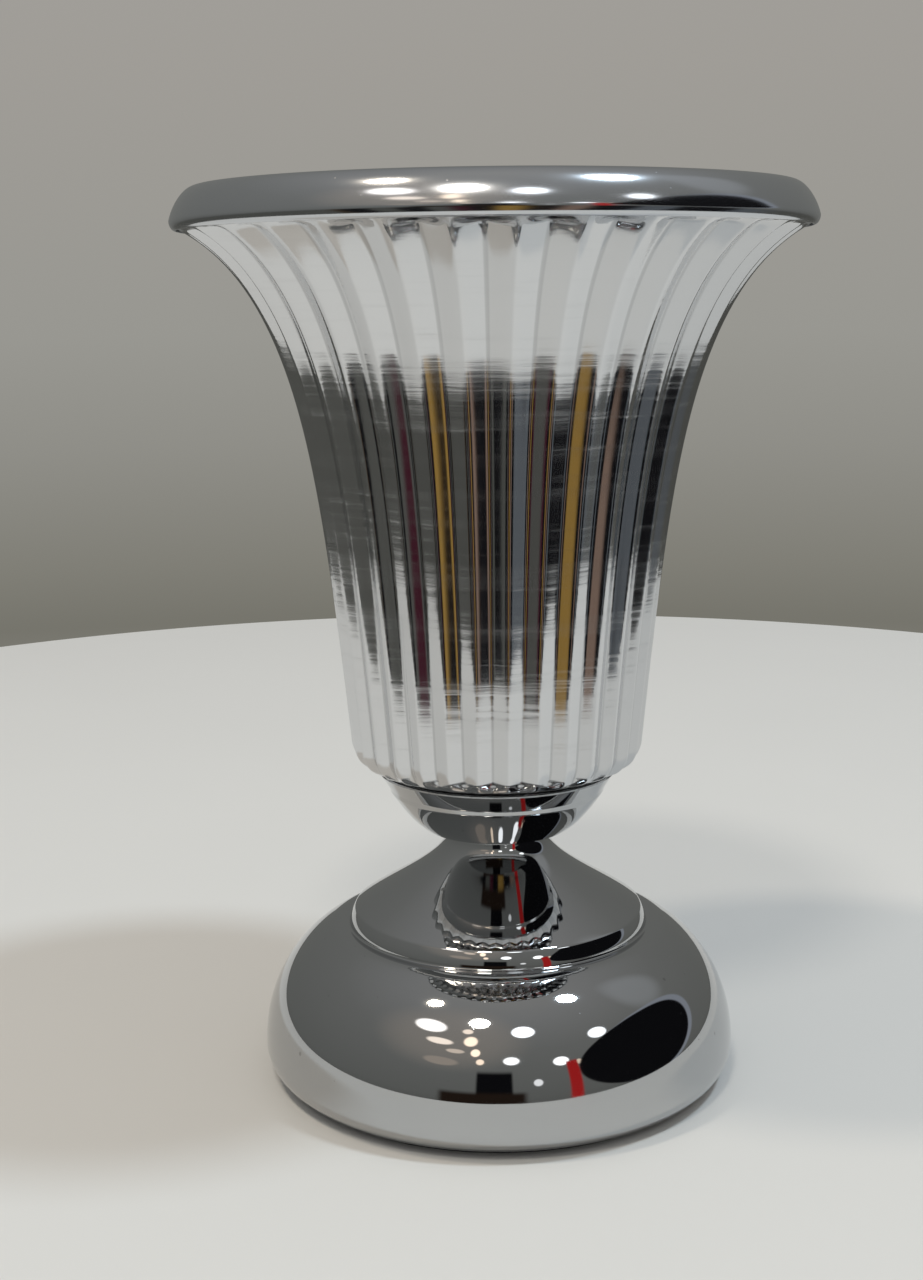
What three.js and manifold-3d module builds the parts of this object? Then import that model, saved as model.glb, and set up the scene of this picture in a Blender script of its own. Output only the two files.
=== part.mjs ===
// A fluted metal vase on a stepped chrome foot, in millimetres with Z up.
// The origin is the middle of the pad's underside, and everything is clamped on one rod along the axis.
import * as THREE from "three";
import { mergeVertices } from "three/addons/utils/BufferGeometryUtils.js";
import Module from "manifold-3d";

const wasm = await Module();
wasm.setup();

// Clearances
const SEAT = 0.05; // film left between flat faces that are clamped together
const ROD_CLEARANCE = 0.4; // radial, where the rod passes through a hole
const THREAD_CLEARANCE = 0.15; // radial, between the rod and a nut
const FIT = 0.3; // between a piece and the curved wall it sits against

// Pad and foot
const PAD_THICKNESS = 2.7;
const FOOT_RADIUS = 59.3; // at its widest
const FOOT_WIDEST_HEIGHT = 8.5;
const FOOT_LIFT = 1.3; // the chrome edge stays this far above the surface the vase stands on
const FOOT_SHEET = 1.2;
const UNDER_ROLL = 8; // radius of the wall that rolls in below the widest line
const FOOT_HEIGHT = 62.4; // top of the neck
const DOME_WIDTH = 29.8; // half axes of the elliptic dome above the widest line
const DOME_RISE = 32.2;
const DOME_TOP_RADIUS = 41.2; // where the dome turns over into the groove round the shoulder
const CREST_WIDTH = 2;
const SHOULDER_RADIUS = 38; // outside of the rolled shoulder that rises from the dome
const SHOULDER_RISE = 3.75; // from the dome's top to the start of the cone
const SHOULDER_ROLL = 1.7;
const CONE_SLOPE = 0.75;
const CONE_LOW_REACH = 9; // how far the cone follows its slope above the shoulder
const CONE_HIGH_REACH = 8.4; // how far it follows the lean of the neck
const NECK_LEAN = 0.25;
const NECK_RADIUS = 11.9;
const NECK_CORNER = 0.5;

// Collar
const COLLAR_HEIGHT = 14.8;
const COLLAR_SHEET = 1.2;
const COLLAR_FLOOR_RADIUS = 18.8;
const COLLAR_WAIST_RADIUS = 27;
const COLLAR_WAIST_HEIGHT = 10; // above the collar's floor, where the lower band meets the bowl
const COLLAR_BAND_BULGE = 0.6; // of the lower band, outwards past its middle
const COLLAR_BAND_RISE = 1.2; // height of the band's pull above the floor
const COLLAR_TOP_RADIUS = 29.6;
const COLLAR_BOWL_INSET = 1.6; // pull of the bowl, inside and below its top edge
const COLLAR_BOWL_DROP = 2;
const COLLAR_OPENING_RADIUS = 21.1; // of the hole in the flat flange under the shell

// Fluted shell
const FLUTES = 32;
const STEPS_PER_FLUTE = 4;
const SHELL_HEIGHT = 130.2; // from the underside of the floor to the edge of the flare
const SHELL_WALL = 1.5;
const SHELL_FLOOR_RADIUS = 28.2;
const SHELL_CORNER_RISE = 6;
const SHELL_CORNER_LEAN = 1; // how far the corner's pull lies inside the wall
const BODY_TAPER = 0.09; // outwards for each millimetre up
const MOUTH_RADIUS = 73.8; // crests at the edge of the flare
const FLARE_REACH = 22.8;
const FLARE_LENGTH = 24.4;
const LIP_REACH = 3.9;
const LIP_LENGTH = 5;
const FLUTE_DEPTH = 1;
const FLUTE_DEPTH_AT_MOUTH = 1.7;
const FLANGE_HEIGHT = 5.4; // upright edge that the hoop is crimped over
const FLANGE_LEAN = 0.25;

// Rim hoop
const HOOP_SHEET = 1;
const HOOP_OVERHANG = 2.2; // widest edge past the flare's edge
const HOOP_ROLL = 2.2; // height of the rolled lower edge
const HOOP_TURN = 0.3; // flat part of the lower edge, turned in under the flare
const HOOP_HEIGHT = 7.7; // from the widest edge to the top
const HOOP_LEAN = 6.3; // how far the top lies inside the widest edge
const HOOP_SHOULDER = 2.4; // how far the face's pull lies inside the widest edge
const HOOP_INNER_LIP = 7.4; // how far the inner wall comes down from the top

// Rod, nuts and washers
const ROD_RADIUS = 4;
const ROD_CHAMFER = 0.6;
const NUT_ACROSS_FLATS = 13;
const NUT_HEIGHT = 6.5;
const CAP_NUT_HEIGHT = 15;
const CAP_BORE_DEPTH = 11;
const CAP_DOME_INSET = 0.3; // dome inside the flats
const DRILL_OVERSHOOT = 1; // a cut runs this far past the face it leaves by
const ROD_END_ROOM = 1; // left above the rod inside the cap nut
const ROD_END_PROUD = 0.9; // past the lower nut
const SEAL_RADIUS = 11;
const SEAL_THICKNESS = 1.5;
const FLOOR_WASHER_RADIUS = 12;
const FLOOR_WASHER_THICKNESS = 1.6;
const SHELL_GASKET_THICKNESS = 0.9;
const NECK_GASKET_THICKNESS = 0.7;
const SPACER_WALL = 3.1;
const LOAD_WASHER_RADIUS = 12;
const LOAD_WASHER_THICKNESS = 1.8;
const SPRING_WASHER_RADIUS = 7.4;
const SPRING_WASHER_THICKNESS = 2;
const SPRING_WASHER_SLIT = 0.25; // radians

// Ballast weight
const BALLAST_RIM_HEIGHT = 10;
const BALLAST_RIM_WIDTH = 6;
const BALLAST_PLATE = 6.8;
const BALLAST_BOSS_WALL = 5.5;
const BALLAST_ROOF = 4;
const COUNTERBORE_DEPTH = 12.3;

// Facets
const FOOT_STEPS = 48;
const FOOT_STRIDE = 7.5;
const COLLAR_STEPS = 36;
const COLLAR_STRIDE = 3.5;
const HOOP_STEPS = 48;
const HOOP_STRIDE = 3;
const SHELL_ROWS = 7;
const SHELL_ROW_BUNCHING = 1.7; // above 1, rows crowd towards the mouth
const SHELL_CORNER_STRIDE = 3.4;
const CAP_STRIDE = 3.3;
const SMALL_STEPS = 20;
const WASHER_STEPS = 24;

// Heights of the stack, from the pad upwards
const rodHole = ROD_RADIUS + ROD_CLEARANCE;
const neckGasketBottom = FOOT_HEIGHT + SEAT;
const collarBottom = neckGasketBottom + NECK_GASKET_THICKNESS + SEAT;
const collarTop = collarBottom + COLLAR_HEIGHT;
const shellGasketBottom = collarTop + SEAT;
const shellBottom = shellGasketBottom + SHELL_GASKET_THICKNESS + SEAT;
const sealBottom = shellBottom + SHELL_WALL + SEAT;
const floorWasherBottom = sealBottom + SEAL_THICKNESS + SEAT;
const capNutBottom = floorWasherBottom + FLOOR_WASHER_THICKNESS + SEAT;
const ballastBottom = PAD_THICKNESS + SEAT;
const counterboreRoof = ballastBottom + COUNTERBORE_DEPTH;
const loadWasherBottom = counterboreRoof - SEAT - LOAD_WASHER_THICKNESS;
const springWasherBottom = loadWasherBottom - SEAT - SPRING_WASHER_THICKNESS;
const baseNutBottom = springWasherBottom - SEAT - NUT_HEIGHT;

// Materials
function metal(color, roughness) {
  return new THREE.MeshStandardMaterial({ color, roughness, metalness: 1 });
}
const polishedAluminium = () => metal(0xd6d8da, 0.18);
const chrome = () => metal(0xb4b7ba, 0.05);
const zincSteel = () => metal(0x9aa0a6, 0.35);
const castIron = () => metal(0x3c3d3f, 0.7);
const rubber = () => new THREE.MeshStandardMaterial({ color: 0x1c1c1d, roughness: 0.9 });
const fibre = () => new THREE.MeshStandardMaterial({ color: 0x6b3a2a, roughness: 0.85 });

const vase = new THREE.Group();

// Turning: an outline of [radius, height] points that closes on itself, carried round the Z axis.
function turnedGeometry(outline, steps) {
  const points = outline.map(([r, z]) => new THREE.Vector2(r, z));
  points.push(points[0].clone());
  return new THREE.LatheGeometry(points, steps).rotateX(Math.PI / 2);
}

function turn(name, material, outline, steps) {
  const mesh = new THREE.Mesh(turnedGeometry(outline, steps), material);
  mesh.name = name;
  vase.add(mesh);
  return mesh;
}

function washer(name, material, inner, outer, bottom, thickness) {
  const outline = [
    [inner, 0],
    [outer, 0],
    [outer, thickness],
    [inner, thickness],
  ];
  turn(name, material, outline, WASHER_STEPS).position.z = bottom;
}

// Points of a path: one step on each straight, and steps of about this length on each curve.
function pointsOf(path, stride) {
  const start = path.curves[0].getPoint(0);
  const points = [[start.x, start.y]];
  for (const curve of path.curves) {
    const steps = curve.isLineCurve ? 1 : Math.max(2, Math.round(curve.getLength() / stride));
    for (const p of curve.getPoints(steps)) {
      const [x, y] = points.at(-1);
      if (Math.hypot(p.x - x, p.y - y) > SEAT) points.push([p.x, p.y]);
    }
  }
  return points;
}

// Direction of the outer normal at each point of an outline that climbs with the metal on its left.
function normalsOf(points) {
  return points.map((_, i) => {
    const [r0, z0] = points[Math.max(i - 1, 0)];
    const [r1, z1] = points[Math.min(i + 1, points.length - 1)];
    const length = Math.hypot(r1 - r0, z1 - z0);
    return [(z1 - z0) / length, (r0 - r1) / length];
  });
}

// The same line, a sheet's thickness further in.
function drawnIn(points, thickness) {
  const normals = normalsOf(points);
  return points.map(([r, z], i) => [r - thickness * normals[i][0], z - thickness * normals[i][1]]);
}

// Radius at a height on a line of points, found on the first stretch that crosses it.
function radiusAt(points, height) {
  const i = points.findIndex((p, k) => k > 0 && points[k - 1][1] <= height && p[1] >= height);
  const [r0, z0] = points[i - 1];
  const [r1, z1] = points[i];
  return r0 + ((r1 - r0) * (height - z0)) / (z1 - z0);
}

// Foot: wall rolled in below, elliptic dome, groove, rolled shoulder, hollow cone and neck.
function footSkin() {
  const path = new THREE.Path();
  const edgeTurn = Math.asin((FOOT_WIDEST_HEIGHT - FOOT_LIFT) / UNDER_ROLL);
  path.absarc(FOOT_RADIUS - UNDER_ROLL, FOOT_WIDEST_HEIGHT, UNDER_ROLL, -edgeTurn, 0, false);
  const middle = FOOT_RADIUS - DOME_WIDTH;
  const domeTurn = Math.acos((DOME_TOP_RADIUS - middle) / DOME_WIDTH);
  path.absellipse(middle, FOOT_WIDEST_HEIGHT, DOME_WIDTH, DOME_RISE, 0, domeTurn, false);
  const domeTop = FOOT_WIDEST_HEIGHT + DOME_RISE * Math.sin(domeTurn);
  const domeSlope = DOME_RISE / DOME_WIDTH / Math.tan(domeTurn);
  const crestTop = domeTop + (domeSlope * CREST_WIDTH) / 2;
  const grooveRadius = DOME_TOP_RADIUS - CREST_WIDTH;
  path.quadraticCurveTo(DOME_TOP_RADIUS - CREST_WIDTH / 2, crestTop, grooveRadius, domeTop);
  const grooveWidth = grooveRadius - SHOULDER_RADIUS;
  const grooveHeight = domeTop - domeSlope * grooveWidth;
  path.quadraticCurveTo(SHOULDER_RADIUS, grooveHeight, SHOULDER_RADIUS, grooveHeight + grooveWidth);
  const coneRadius = SHOULDER_RADIUS - SHOULDER_ROLL;
  const coneHeight = domeTop + SHOULDER_RISE;
  const rollTop = coneHeight - CONE_SLOPE * SHOULDER_ROLL;
  path.quadraticCurveTo(SHOULDER_RADIUS, rollTop, coneRadius, coneHeight);
  const neckHeight = FOOT_HEIGHT - FOOT_SHEET;
  const slopeLength = Math.hypot(1, CONE_SLOPE);
  path.bezierCurveTo(
    coneRadius - CONE_LOW_REACH / slopeLength,
    coneHeight + (CONE_SLOPE * CONE_LOW_REACH) / slopeLength,
    NECK_RADIUS + NECK_LEAN * CONE_HIGH_REACH,
    neckHeight - CONE_HIGH_REACH,
    NECK_RADIUS,
    neckHeight,
  );
  return path;
}

const footOutside = pointsOf(footSkin(), FOOT_STRIDE);

function foot() {
  const inside = drawnIn(footOutside, FOOT_SHEET);
  const top = [
    [NECK_RADIUS - NECK_CORNER, FOOT_HEIGHT],
    [rodHole, FOOT_HEIGHT],
    [rodHole, FOOT_HEIGHT - FOOT_SHEET],
  ];
  const underNeck = [NECK_RADIUS - FOOT_SHEET, FOOT_HEIGHT - FOOT_SHEET];
  const within = inside.slice(0, -1).reverse();
  turn("foot_shell", chrome(), [...footOutside, ...top, underNeck, ...within], FOOT_STEPS);
}

// Ballast: a flat casting whose raised rim meets the inside of the dome, with a boss over the nut.
function ballast() {
  const rimTop = ballastBottom + BALLAST_RIM_HEIGHT;
  const radius = radiusAt(drawnIn(footOutside, FOOT_SHEET), ballastBottom) - FIT;
  const plateTop = ballastBottom + BALLAST_PLATE;
  const bore = LOAD_WASHER_RADIUS + ROD_CLEARANCE;
  const boss = bore + BALLAST_BOSS_WALL;
  const bossTop = counterboreRoof + BALLAST_ROOF;
  const outline = [
    [bore, ballastBottom],
    [radius, ballastBottom],
    [radius, rimTop],
    [radius - BALLAST_RIM_WIDTH, rimTop],
    [radius - BALLAST_RIM_WIDTH - (rimTop - plateTop), plateTop],
    [boss, plateTop],
    [boss, bossTop],
    [rodHole, bossTop],
    [rodHole, counterboreRoof],
    [bore, counterboreRoof],
  ];
  turn("ballast_weight", castIron(), outline, COLLAR_STEPS);
}

function pad() {
  const radius = footOutside[0][0] - FOOT_SHEET - FIT;
  const geometry = new THREE.CylinderGeometry(radius, radius, PAD_THICKNESS, FOOT_STEPS);
  const mesh = new THREE.Mesh(geometry.rotateX(Math.PI / 2), rubber());
  mesh.name = "base_pad";
  mesh.position.z = PAD_THICKNESS / 2;
  vase.add(mesh);
}

// Collar: a pressed bowl with a floor, a convex lower band, a flared bowl and a flat flange on top.
function collar() {
  const waist = collarBottom + COLLAR_WAIST_HEIGHT;
  const path = new THREE.Path();
  path.moveTo(COLLAR_FLOOR_RADIUS, collarBottom);
  const bandReach = (COLLAR_FLOOR_RADIUS + COLLAR_WAIST_RADIUS) / 2 + COLLAR_BAND_BULGE;
  const bandPull = collarBottom + COLLAR_BAND_RISE;
  path.quadraticCurveTo(bandReach, bandPull, COLLAR_WAIST_RADIUS, waist);
  const bowlReach = COLLAR_TOP_RADIUS - COLLAR_BOWL_INSET;
  const bowlPull = collarTop - COLLAR_BOWL_DROP;
  path.quadraticCurveTo(bowlReach, bowlPull, COLLAR_TOP_RADIUS, collarTop);
  const outside = pointsOf(path, COLLAR_STRIDE);
  const inside = drawnIn(outside, COLLAR_SHEET);
  const underFlange = collarTop - COLLAR_SHEET;
  const flange = [
    [COLLAR_OPENING_RADIUS, collarTop],
    [COLLAR_OPENING_RADIUS, underFlange],
    [radiusAt(inside, underFlange), underFlange],
  ];
  const within = inside.slice(1).reverse().filter(([, z]) => z < underFlange - SEAT);
  const floor = [
    [COLLAR_FLOOR_RADIUS, collarBottom + COLLAR_SHEET],
    [rodHole, collarBottom + COLLAR_SHEET],
    [rodHole, collarBottom],
  ];
  turn("collar", chrome(), [...outside, ...flange, ...within, ...floor], COLLAR_STEPS);
}

// Crest radius of the body at a height above the underside of its floor.
function crestRadius(height) {
  const below = SHELL_HEIGHT - height;
  const straight = MOUTH_RADIUS - FLARE_REACH - LIP_REACH - BODY_TAPER * below;
  const flare = FLARE_REACH * Math.exp(-below / FLARE_LENGTH);
  return straight + flare + LIP_REACH * Math.exp(-below / LIP_LENGTH);
}

// Depth of the flutes where the crest has this radius.
function fluteDepth(radius) {
  const low = crestRadius(SHELL_CORNER_RISE);
  const share = (radius - low) / (MOUTH_RADIUS - low);
  return FLUTE_DEPTH + (FLUTE_DEPTH_AT_MOUTH - FLUTE_DEPTH) * Math.max(share, 0);
}

// Outer line of the shell along a crest, from the floor to the edge of the flare.
function shellCrest() {
  const corner = new THREE.Path();
  corner.moveTo(SHELL_FLOOR_RADIUS, 0);
  const cornerTop = crestRadius(SHELL_CORNER_RISE);
  const reach = cornerTop - SHELL_CORNER_LEAN;
  corner.quadraticCurveTo(reach, 0, cornerTop, SHELL_CORNER_RISE);
  const points = pointsOf(corner, SHELL_CORNER_STRIDE);
  // Steps shorten towards the mouth, where the flare bends fastest.
  for (let i = 1; i <= SHELL_ROWS; i++) {
    const share = 1 - (1 - i / SHELL_ROWS) ** SHELL_ROW_BUNCHING;
    const height = SHELL_CORNER_RISE + (SHELL_HEIGHT - SHELL_CORNER_RISE) * share;
    points.push([crestRadius(height), height]);
  }
  return points;
}

// Closed fluted body: each row is [radius, height, how far a groove draws it in along the normal].
function fluted(rows) {
  const steps = FLUTES * STEPS_PER_FLUTE;
  const positions = [];
  const faces = [];
  for (let i = 0; i < steps; i++) {
    const angle = (2 * Math.PI * i) / steps;
    const groove = (1 + Math.cos(FLUTES * angle)) / 2;
    for (const [r, z, inwards, downwards] of rows) {
      const radius = r - groove * inwards;
      positions.push(radius * Math.cos(angle), radius * Math.sin(angle), z - groove * downwards);
    }
  }
  for (let i = 0; i < steps; i++) {
    const here = i * rows.length;
    const next = ((i + 1) % steps) * rows.length;
    for (let k = 0; k < rows.length; k++) {
      const up = (k + 1) % rows.length;
      faces.push(here + k, next + k, next + up, here + k, next + up, here + up);
    }
  }
  const geometry = new THREE.BufferGeometry();
  geometry.setAttribute("position", new THREE.Float32BufferAttribute(positions, 3));
  geometry.setIndex(faces);
  geometry.computeVertexNormals();
  return geometry;
}

function shell() {
  const crest = shellCrest();
  const normals = normalsOf(crest);
  const rowAt = (i, wall) => {
    const [r, z] = crest[i];
    const [nr, nz] = normals[i];
    const depth = i === 0 || i === crest.length - 1 ? 0 : fluteDepth(r);
    return [r - wall * nr, z - wall * nz, depth * nr, depth * nz];
  };
  const outside = crest.map((_, i) => rowAt(i, 0));
  const inside = crest.map((_, i) => rowAt(i, SHELL_WALL)).slice(1, -1);
  const flangeTop = SHELL_HEIGHT + FLANGE_HEIGHT;
  const flangeTopRadius = MOUTH_RADIUS - FLANGE_LEAN * FLANGE_HEIGHT;
  const flange = [
    [MOUTH_RADIUS, SHELL_HEIGHT + SHELL_WALL, 0, 0],
    [flangeTopRadius, flangeTop, 0, 0],
    [flangeTopRadius - SHELL_WALL, flangeTop, 0, 0],
    [MOUTH_RADIUS - SHELL_WALL, SHELL_HEIGHT + SHELL_WALL, 0, 0],
  ];
  const floor = [
    [SHELL_FLOOR_RADIUS, SHELL_WALL, 0, 0],
    [rodHole, SHELL_WALL, 0, 0],
    [rodHole, 0, 0, 0],
  ];
  const within = inside.reverse().filter(([, z]) => z > SHELL_WALL);
  const mesh = new THREE.Mesh(fluted([...outside, ...flange, ...within, ...floor]), polishedAluminium());
  mesh.name = "fluted_shell";
  mesh.position.z = shellBottom;
  vase.add(mesh);
}

// Hoop: a C section crimped over the shell's upright edge.
function hoop() {
  const edge = shellBottom + SHELL_HEIGHT;
  const widest = MOUTH_RADIUS + HOOP_OVERHANG;
  const widestHeight = edge + HOOP_ROLL - FIT;
  const top = widestHeight + HOOP_HEIGHT;
  const crown = widest - HOOP_LEAN;
  const path = new THREE.Path();
  path.moveTo(MOUTH_RADIUS + FIT, edge - FIT);
  path.lineTo(MOUTH_RADIUS + FIT + HOOP_TURN, edge - FIT);
  path.quadraticCurveTo(widest, edge - FIT, widest, widestHeight);
  path.quadraticCurveTo(widest - HOOP_SHOULDER, top, crown, top);
  path.quadraticCurveTo(crown - HOOP_SHEET, top, crown - HOOP_SHEET, top - HOOP_SHEET);
  path.lineTo(crown - HOOP_SHEET, top - HOOP_INNER_LIP);
  const outside = pointsOf(path, HOOP_STRIDE);
  const inside = drawnIn(outside, HOOP_SHEET).reverse();
  turn("rim_hoop", chrome(), [...outside, ...inside], HOOP_STEPS);
}

// A solid for joining and cutting, and back again.
function solidOf(geometry) {
  const bare = geometry.index ? geometry.toNonIndexed() : geometry.clone();
  bare.deleteAttribute("normal");
  bare.deleteAttribute("uv");
  const merged = mergeVertices(bare, 1e-4);
  return new wasm.Manifold(
    new wasm.Mesh({
      numProp: 3,
      vertProperties: merged.attributes.position.array,
      triVerts: new Uint32Array(merged.index.array),
    }),
  );
}

function geometryOf(solid) {
  const { vertProperties, triVerts } = solid.getMesh();
  const geometry = new THREE.BufferGeometry();
  geometry.setAttribute("position", new THREE.BufferAttribute(vertProperties, 3));
  geometry.setIndex(new THREE.BufferAttribute(triVerts, 1));
  const flat = geometry.toNonIndexed();
  flat.computeVertexNormals();
  return flat;
}

// Hexagon bar with its upper and lower corners turned off.
function hexBar(height) {
  const corner = NUT_ACROSS_FLATS / Math.sqrt(3);
  const bar = new THREE.CylinderGeometry(corner, corner, height, 6).rotateX(Math.PI / 2);
  bar.translate(0, 0, height / 2);
  const face = NUT_ACROSS_FLATS / 2;
  const chamfer = (corner - face) / 2;
  const turned = turnedGeometry(
    [
      [0, 0],
      [face, 0],
      [corner, chamfer],
      [corner, height - chamfer],
      [face, height],
      [0, height],
    ],
    SMALL_STEPS,
  );
  return solidOf(bar).intersect(solidOf(turned));
}

function bore(bottom, top) {
  const radius = ROD_RADIUS + THREAD_CLEARANCE;
  const cut = new THREE.CylinderGeometry(radius, radius, top - bottom, SMALL_STEPS);
  cut.rotateX(Math.PI / 2).translate(0, 0, (top + bottom) / 2);
  return solidOf(cut);
}

function addSolid(name, material, solid, height) {
  const mesh = new THREE.Mesh(geometryOf(solid), material);
  mesh.name = name;
  mesh.position.z = height;
  vase.add(mesh);
}

function nuts() {
  const open = hexBar(NUT_HEIGHT).subtract(bore(-DRILL_OVERSHOOT, NUT_HEIGHT + DRILL_OVERSHOOT));
  addSolid("base_nut", zincSteel(), open, baseNutBottom);
  const face = NUT_ACROSS_FLATS / 2;
  const domeRadius = face - CAP_DOME_INSET;
  const cylinderTop = CAP_NUT_HEIGHT - domeRadius;
  const path = new THREE.Path();
  path.moveTo(0, NUT_HEIGHT - DRILL_OVERSHOOT);
  path.lineTo(domeRadius, NUT_HEIGHT - DRILL_OVERSHOOT);
  path.lineTo(domeRadius, cylinderTop);
  path.absarc(0, cylinderTop, domeRadius, 0, Math.PI / 2, false);
  const dome = solidOf(turnedGeometry(pointsOf(path, CAP_STRIDE), SMALL_STEPS));
  const closed = hexBar(NUT_HEIGHT).add(dome).subtract(bore(-DRILL_OVERSHOOT, CAP_BORE_DEPTH));
  addSolid("cap_nut", zincSteel(), closed, capNutBottom);
}

function tieRod() {
  const bottom = baseNutBottom - ROD_END_PROUD;
  const top = capNutBottom + CAP_BORE_DEPTH - ROD_END_ROOM;
  const outline = [
    [0, bottom],
    [ROD_RADIUS - ROD_CHAMFER, bottom],
    [ROD_RADIUS, bottom + ROD_CHAMFER],
    [ROD_RADIUS, top - ROD_CHAMFER],
    [ROD_RADIUS - ROD_CHAMFER, top],
    [0, top],
  ];
  turn("tie_rod", zincSteel(), outline, SMALL_STEPS);
}

// Spring washer: a ring cut through at one place.
function springWasher() {
  const ring = new THREE.Shape();
  ring.absarc(0, 0, SPRING_WASHER_RADIUS, SPRING_WASHER_SLIT, 2 * Math.PI, false);
  ring.absarc(0, 0, rodHole, 2 * Math.PI, SPRING_WASHER_SLIT, true);
  ring.closePath();
  const settings = { depth: SPRING_WASHER_THICKNESS, bevelEnabled: false, curveSegments: SMALL_STEPS };
  const mesh = new THREE.Mesh(new THREE.ExtrudeGeometry(ring, settings), zincSteel());
  mesh.name = "spring_washer";
  mesh.position.z = springWasherBottom;
  vase.add(mesh);
}

function stack() {
  washer("floor_seal", rubber(), rodHole, SEAL_RADIUS, sealBottom, SEAL_THICKNESS);
  const floorWasher = [rodHole, FLOOR_WASHER_RADIUS, floorWasherBottom, FLOOR_WASHER_THICKNESS];
  washer("floor_washer", zincSteel(), ...floorWasher);
  const gasketOuter = SHELL_FLOOR_RADIUS - FIT;
  const gasket = [COLLAR_OPENING_RADIUS, gasketOuter, shellGasketBottom, SHELL_GASKET_THICKNESS];
  washer("shell_gasket", rubber(), ...gasket);
  const spacerBottom = collarBottom + COLLAR_SHEET + SEAT;
  const spacerHeight = shellBottom - SEAT - spacerBottom;
  washer("spacer_tube", zincSteel(), rodHole, rodHole + SPACER_WALL, spacerBottom, spacerHeight);
  const neckGasket = [rodHole, NECK_RADIUS - NECK_CORNER, neckGasketBottom, NECK_GASKET_THICKNESS];
  washer("neck_gasket", fibre(), ...neckGasket);
  const loadWasher = [rodHole, LOAD_WASHER_RADIUS, loadWasherBottom, LOAD_WASHER_THICKNESS];
  washer("load_washer", zincSteel(), ...loadWasher);
}

hoop();
shell();
collar();
foot();
ballast();
pad();
tieRod();
nuts();
springWasher();
stack();

export default vase;
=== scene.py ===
"""A fluted metal vase on a stepped chrome foot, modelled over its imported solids.

Everything is in metres with Z up, and the vase stands on the floor at the origin.
"""

import math

import bpy
from mathutils import Matrix, Vector


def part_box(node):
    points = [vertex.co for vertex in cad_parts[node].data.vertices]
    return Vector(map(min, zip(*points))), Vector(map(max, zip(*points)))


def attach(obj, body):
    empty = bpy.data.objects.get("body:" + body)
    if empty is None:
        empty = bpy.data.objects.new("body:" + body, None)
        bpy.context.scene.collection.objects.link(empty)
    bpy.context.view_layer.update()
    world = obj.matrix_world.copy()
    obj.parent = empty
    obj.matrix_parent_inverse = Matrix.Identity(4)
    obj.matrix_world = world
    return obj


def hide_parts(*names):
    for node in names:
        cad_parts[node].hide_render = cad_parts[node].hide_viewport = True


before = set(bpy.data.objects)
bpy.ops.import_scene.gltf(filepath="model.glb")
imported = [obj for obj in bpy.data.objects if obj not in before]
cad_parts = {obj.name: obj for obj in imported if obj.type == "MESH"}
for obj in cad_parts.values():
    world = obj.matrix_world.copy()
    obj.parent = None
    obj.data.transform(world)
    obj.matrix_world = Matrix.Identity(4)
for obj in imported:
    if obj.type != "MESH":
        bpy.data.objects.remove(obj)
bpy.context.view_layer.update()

bl_info = {
    "name": "Fluted Metal Vase",
    "version": (1, 0, 0),
    "blender": (4, 5, 0),
    "location": "View3D > Sidebar > Vase",
    "description": "Models a polished fluted vase on a chrome foot",
    "category": "Add Mesh",
}

MM = 0.001
SAME_PLACE = 1e-6  # points closer than this are one point
SEAM_REACH = 2e-6  # slices closer than this are joined
BOXES = {node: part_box(node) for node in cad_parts}
HIDDEN_STEEL = ("tie_rod", "spacer_tube", "load_washer", "spring_washer", "base_nut")


def bottom_of(node):
    """Lowest height of a CAD node."""
    return float(BOXES[node][0][2])


def top_of(node):
    """Greatest height of a CAD node."""
    return float(BOXES[node][1][2])


def reach_of(node):
    """Greatest distance of a CAD node from the axis."""
    return float(BOXES[node][1][0])


# Sizes and colours


def length(name, description, millimetres):
    """A length that a user may change."""
    return bpy.props.FloatProperty(
        name=name,
        description=description,
        default=millimetres * MM,
        min=0,
        precision=5,
        unit="LENGTH",
    )


def share(name, description, default):
    """A plain number from 0 to 1."""
    return bpy.props.FloatProperty(
        name=name, description=description, default=default, min=0, max=1, subtype="FACTOR"
    )


def colour(name, description, default):
    """A colour, in linear light."""
    return bpy.props.FloatVectorProperty(
        name=name,
        description=description,
        default=default,
        min=0,
        max=1,
        size=3,
        subtype="COLOR",
    )


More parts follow.
